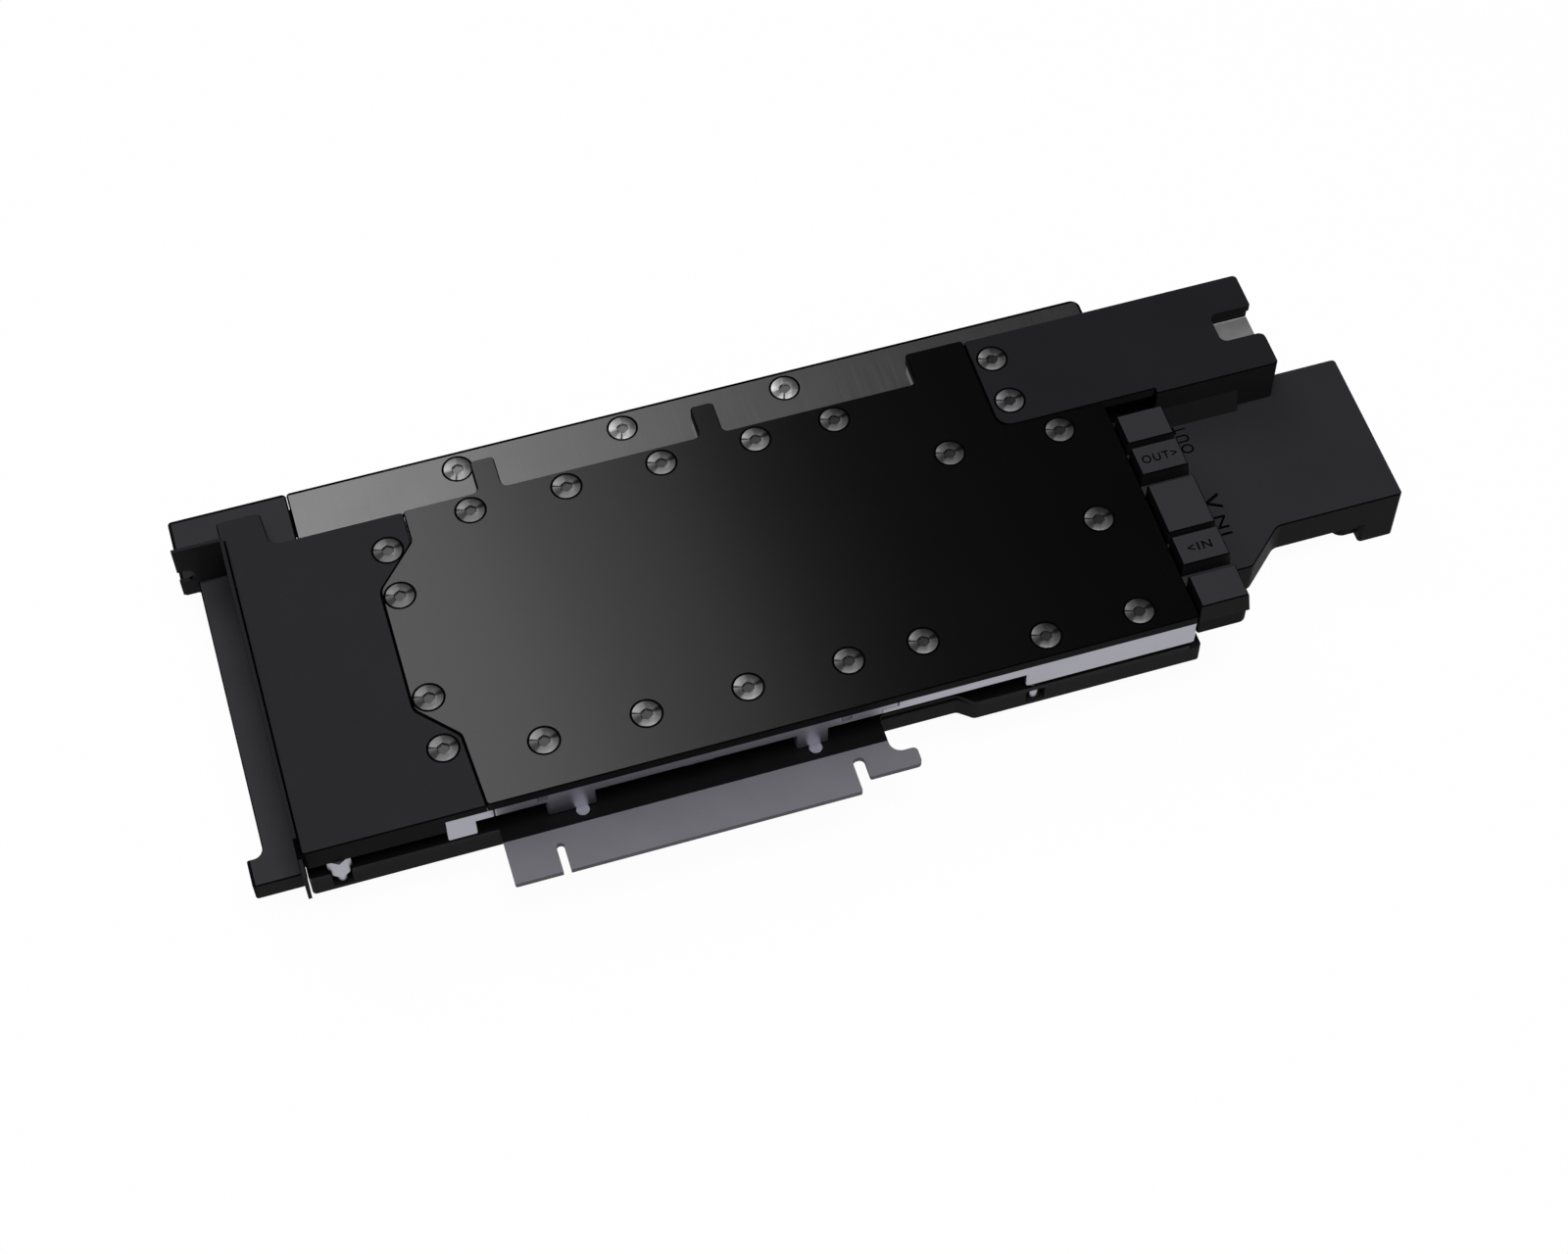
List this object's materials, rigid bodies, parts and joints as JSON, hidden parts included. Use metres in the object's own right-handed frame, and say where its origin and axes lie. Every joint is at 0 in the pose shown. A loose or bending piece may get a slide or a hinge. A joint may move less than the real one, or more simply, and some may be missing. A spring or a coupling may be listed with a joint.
{
  "type": "liquid cooling cold plate",
  "caption": "Liquid cold plate assembly on an accelerator card: nickel base with fin field and milled channels, dark top plate, port terminal, manifold, backplate and slot bracket.",
  "frame": {"origin": "middle of the key notch at the edge connector's lower edge, on the board's component face", "axes": "+X along the board from the slot bracket to the power and coolant end, +Y away from the slot across the board, +Z out of the component face towards the cold plate"},
  "size_m": [0.3016, 0.1275, 0.0358],
  "materials": {
    "board_mask": "satin solder mask",
    "package": "satin laminate with a metal lid",
    "chip_black": "matt moulding",
    "thermal_pad": "soft matt",
    "choke_grey": "matt pressed powder",
    "nickel_plate": "satin nickel plating",
    "seal_rubber": "matt",
    "dark_nickel": "smooth dark satin",
    "screw_steel": "turned steel",
    "rail_grey": "bead blasted grey",
    "stud_nickel": "satin nickel plating",
    "cover_black": "fine matt black",
    "power_black": "fine matt black",
    "socket_black": "moulded",
    "terminal_black": "fine matt black",
    "manifold_black": "fine matt black",
    "backplate_black": "anodised black",
    "strip_grey": "satin anodised",
    "guard_grey": "fine matt grey",
    "bracket_dark": "dark satin coated steel"
  },
  "bodies": {
    "root": {"circuit_board": "board_mask", "processor": "package", "power_stages": "chip_black", "power_pads": "thermal_pad", "power_chokes": "choke_grey", "choke_pads": "thermal_pad", "cold_plate": "nickel_plate", "main_seal": "seal_rubber", "top_plate": "dark_nickel", "top_plate_screws": "screw_steel", "side_rail": "rail_grey", "rail_posts": "stud_nickel", "edge_studs": "stud_nickel", "bracket_end_cover": "cover_black", "end_cover_screws": "screw_steel", "power_cover": "power_black", "power_cover_screws": "screw_steel", "power_socket": "socket_black", "terminal_cap": "terminal_black", "terminal_base": "terminal_black", "terminal_seals": "seal_rubber", "manifold": "manifold_black", "manifold_seals": "seal_rubber", "backplate": "backplate_black", "stack_screws": "screw_steel", "manifold_screws": "screw_steel", "terminal_clamp_screws": "screw_steel", "edge_strip": "strip_grey", "edge_strip_screws": "screw_steel", "bracket_side_plate": "guard_grey", "io_bracket": "bracket_dark", "bracket_screws": "screw_steel"}
  },
  "joints": []
}
